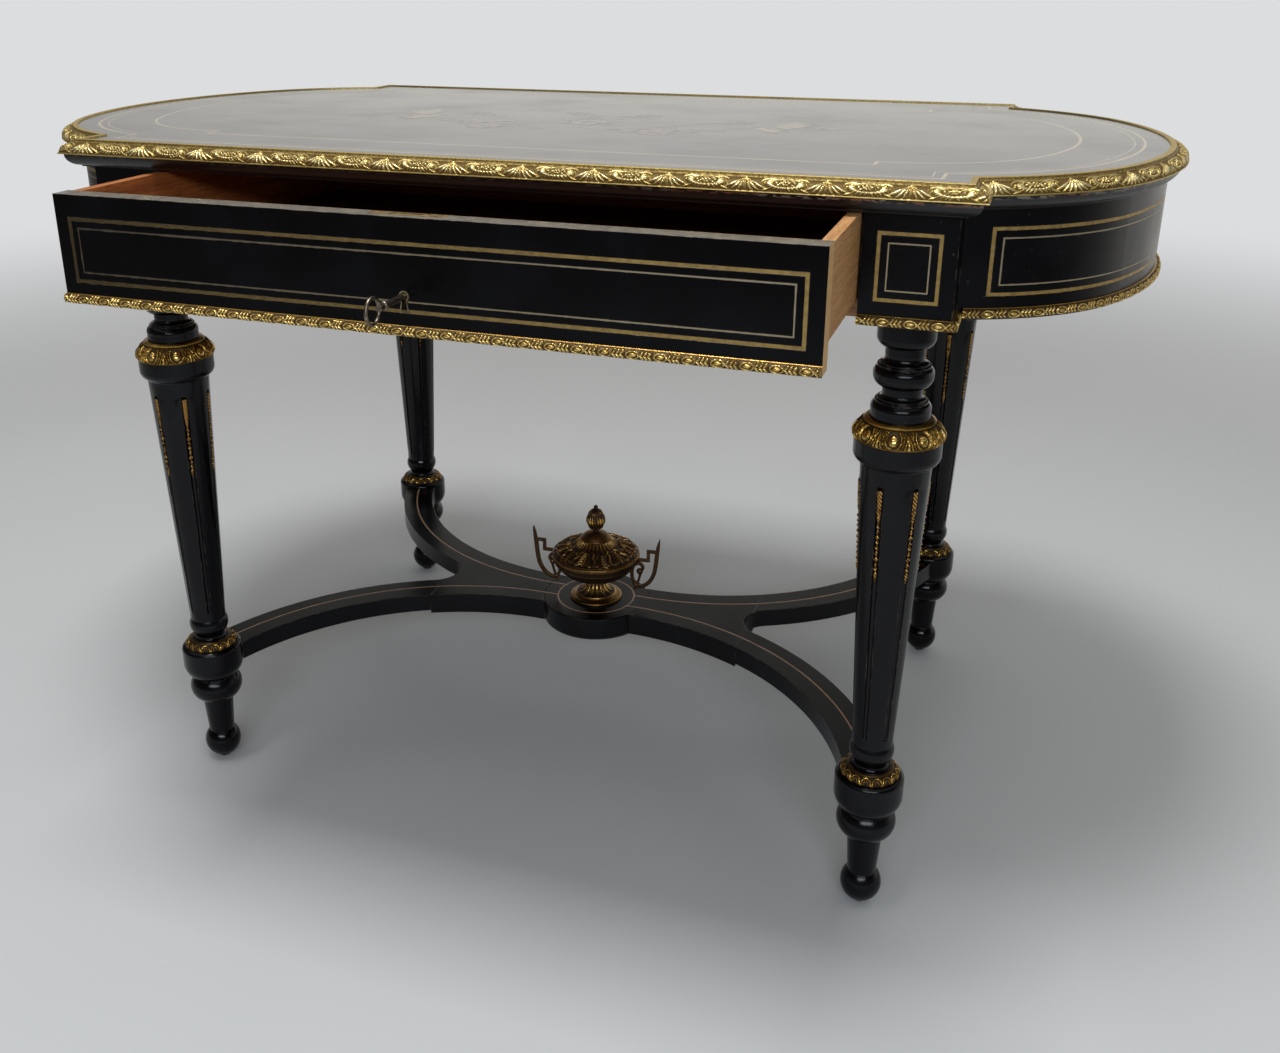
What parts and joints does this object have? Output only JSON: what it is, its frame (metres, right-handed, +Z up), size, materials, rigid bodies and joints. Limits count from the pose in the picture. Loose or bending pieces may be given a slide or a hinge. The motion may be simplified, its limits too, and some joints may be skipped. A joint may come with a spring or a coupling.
{
  "type": "centre table",
  "caption": "Ebonised oblong centre table with bowed ends, gilt edge and mounts, fluted turned legs, curved cross stretcher with a covered urn, and a locking frieze drawer.",
  "frame": {"origin": "on the floor, under the middle of the table top", "axes": "+X along the length to the right, +Y to the back, +Z up; the drawer opens towards -Y"},
  "size_m": [1.2198, 0.8595, 0.742],
  "materials": {
    "ebonised_wood": "polished black",
    "gilt_brass": "aged gilt casting",
    "brass_stringing": "dull, level with the wood",
    "copper_line": "polished with the top",
    "oak": "bare, aged",
    "iron": "worn grey",
    "lock_brass": "dull"
  },
  "bodies": {
    "carcass": {"back_frieze": "ebonised_wood", "back_stringing": "brass_stringing", "back_strip": "gilt_brass", "block_stringing": "brass_stringing", "block_strips": "gilt_brass", "corner_block_back_left": "ebonised_wood", "corner_block_back_right": "ebonised_wood", "corner_block_front_left": "ebonised_wood", "corner_block_front_right": "ebonised_wood", "drawer_runner_left": "oak", "drawer_runner_right": "oak", "drawer_stops": "oak", "end_frieze_left": "ebonised_wood", "end_frieze_right": "ebonised_wood", "end_stringing": "brass_stringing", "end_strips": "gilt_brass", "flute_drops": "gilt_brass", "foot_glides": "iron", "front_rail": "oak", "glue_blocks": "oak", "leg_back_left": "ebonised_wood", "leg_back_right": "ebonised_wood", "leg_collars": "gilt_brass", "leg_front_left": "ebonised_wood", "leg_front_right": "ebonised_wood", "leg_rings": "gilt_brass", "side_rail_left": "oak", "side_rail_right": "oak", "stretcher_arm_back_left": "ebonised_wood", "stretcher_arm_back_right": "ebonised_wood", "stretcher_arm_front_left": "ebonised_wood", "stretcher_arm_front_right": "ebonised_wood", "stretcher_fork_left": "ebonised_wood", "stretcher_fork_right": "ebonised_wood", "stretcher_inlay": "copper_line", "stretcher_platform": "ebonised_wood", "top_edge_back": "gilt_brass", "top_edge_front": "gilt_brass", "top_edge_left": "gilt_brass", "top_edge_right": "gilt_brass", "top_inlay": "copper_line", "top_panel": "ebonised_wood", "under_board": "ebonised_wood", "urn_bowl": "gilt_brass", "urn_finial": "gilt_brass", "urn_foot": "gilt_brass", "urn_handles": "gilt_brass", "urn_lid": "gilt_brass", "urn_rod": "iron"},
    "drawer": {"drawer_front": "ebonised_wood", "drawer_side_left": "oak", "drawer_side_right": "oak", "drawer_back": "oak", "drawer_bottom": "oak", "drawer_strip": "gilt_brass", "drawer_stringing": "brass_stringing", "escutcheon": "gilt_brass", "lock_case": "lock_brass"},
    "key": {"key": "iron"},
    "bolt": {"lock_bolt": "iron"}
  },
  "joints": [
    {"name": "drawer_slide", "type": "slide", "parent": "carcass", "child": "drawer", "axis": [0, -1, 0], "range_m": [-0.149, 0.15]},
    {"name": "key_turn", "type": "hinge", "parent": "drawer", "child": "key", "pos_m": [0, -0.459, 0.649], "axis": [0, -1, 0], "range_deg": [0, 90]},
    {"name": "bolt_slide", "type": "slide", "parent": "drawer", "child": "bolt", "axis": [0, 0, 1], "range_m": [0, 0.0085]}
  ],
  "couplings": [
    {"joint": "key_turn", "follows": "bolt_slide", "rad_per_m": 184.79}
  ]
}
